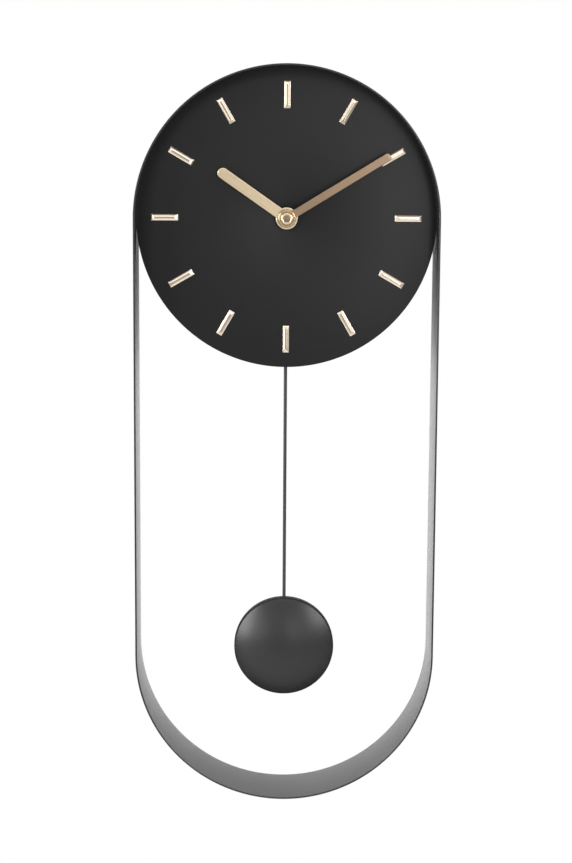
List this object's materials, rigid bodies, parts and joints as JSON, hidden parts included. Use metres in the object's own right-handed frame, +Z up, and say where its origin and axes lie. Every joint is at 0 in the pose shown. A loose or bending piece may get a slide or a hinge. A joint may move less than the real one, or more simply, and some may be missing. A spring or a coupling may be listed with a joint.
{
  "type": "pendulum wall clock",
  "caption": "Wall clock in a tall racetrack hoop of black steel band, with a round recessed dial, gold bar markers and hands, and a swinging pendulum with a domed bob.",
  "frame": {"origin": "centre of the wall hanger's keyhole, on the wall plane", "axes": "+X to the viewer's right, +Y into the wall, +Z up; the dial faces -Y"},
  "size_m": [0.203, 0.048, 0.4998],
  "materials": {
    "black_steel": "satin black",
    "marker_gold": "polished champagne gold",
    "hand_gold": "brushed champagne gold",
    "brass": "polished",
    "black_plastic": "fine grain",
    "white_plastic": "plain",
    "plain_steel": "drawn",
    "rubber": "plain",
    "board": "solder mask",
    "copper_winding": "enamelled wire",
    "cell_sleeve": "printed sleeve, unmarked"
  },
  "bodies": {
    "case": {"hoop_band": "black_steel", "dial_plate": "black_steel", "hour_marker_01": "marker_gold", "hour_marker_02": "marker_gold", "hour_marker_03": "marker_gold", "hour_marker_04": "marker_gold", "hour_marker_05": "marker_gold", "hour_marker_06": "marker_gold", "hour_marker_07": "marker_gold", "hour_marker_08": "marker_gold", "hour_marker_09": "marker_gold", "hour_marker_10": "marker_gold", "hour_marker_11": "marker_gold", "hour_marker_12": "marker_gold", "dial_bracket_left": "black_steel", "dial_bracket_top": "black_steel", "dial_bracket_right": "black_steel", "hanger_bracket": "black_steel", "front_housing": "black_plastic", "rear_cover": "black_plastic", "cover_screws": "plain_steel", "dial_gasket": "rubber", "centre_bush": "brass", "dial_washer": "brass", "dial_nut": "brass", "minute_wheel_pin": "plain_steel", "drive_unit": "white_plastic", "circuit_board": "board", "motor_coil": "copper_winding", "motor_core": "plain_steel", "negative_contact": "plain_steel", "positive_contact": "plain_steel", "pivot_pin": "plain_steel", "pulse_coil": "copper_winding"},
    "minute": {"minute_arbor": "plain_steel", "minute_hand": "hand_gold", "hand_nut": "brass"},
    "hour": {"hour_wheel": "white_plastic", "hour_hand": "hand_gold"},
    "minute_wheel": {"minute_wheel": "white_plastic"},
    "setting": {"setting_knob": "black_plastic"},
    "pendulum": {"pendulum_leader": "black_plastic", "pendulum_magnet": "plain_steel", "pendulum_rod": "black_steel", "bob_shell": "black_steel", "bob_back": "black_steel"},
    "battery": {"battery": "cell_sleeve"}
  },
  "joints": [
    {"name": "minute_spin", "type": "hinge", "parent": "case", "child": "minute", "pos_m": [0, -0.03, -0.08], "axis": [0, 1, 0], "continuous": true},
    {"name": "hour_spin", "type": "hinge", "parent": "case", "child": "hour", "pos_m": [0, -0.03, -0.08], "axis": [0, 1, 0], "continuous": true},
    {"name": "minute_wheel_spin", "type": "hinge", "parent": "case", "child": "minute_wheel", "pos_m": [0.009, -0.015, -0.08], "axis": [0, 1, 0], "continuous": true},
    {"name": "setting_spin", "type": "hinge", "parent": "case", "child": "setting", "pos_m": [0.018, -0.01, -0.08], "axis": [0, 1, 0], "continuous": true},
    {"name": "pendulum_swing", "type": "hinge", "parent": "case", "child": "pendulum", "pos_m": [0, -0.013, -0.118], "axis": [0, 1, 0], "range_deg": [-8, 8]},
    {"name": "battery_slide", "type": "slide", "parent": "case", "child": "battery", "axis": [0, 1, 0], "range_m": [0, 0.04]}
  ],
  "couplings": [
    {"joint": "hour_spin", "follows": "minute_spin", "ratio": 0.083333},
    {"joint": "minute_wheel_spin", "follows": "minute_spin", "ratio": -0.33333},
    {"joint": "setting_spin", "follows": "minute_spin", "ratio": 1}
  ]
}
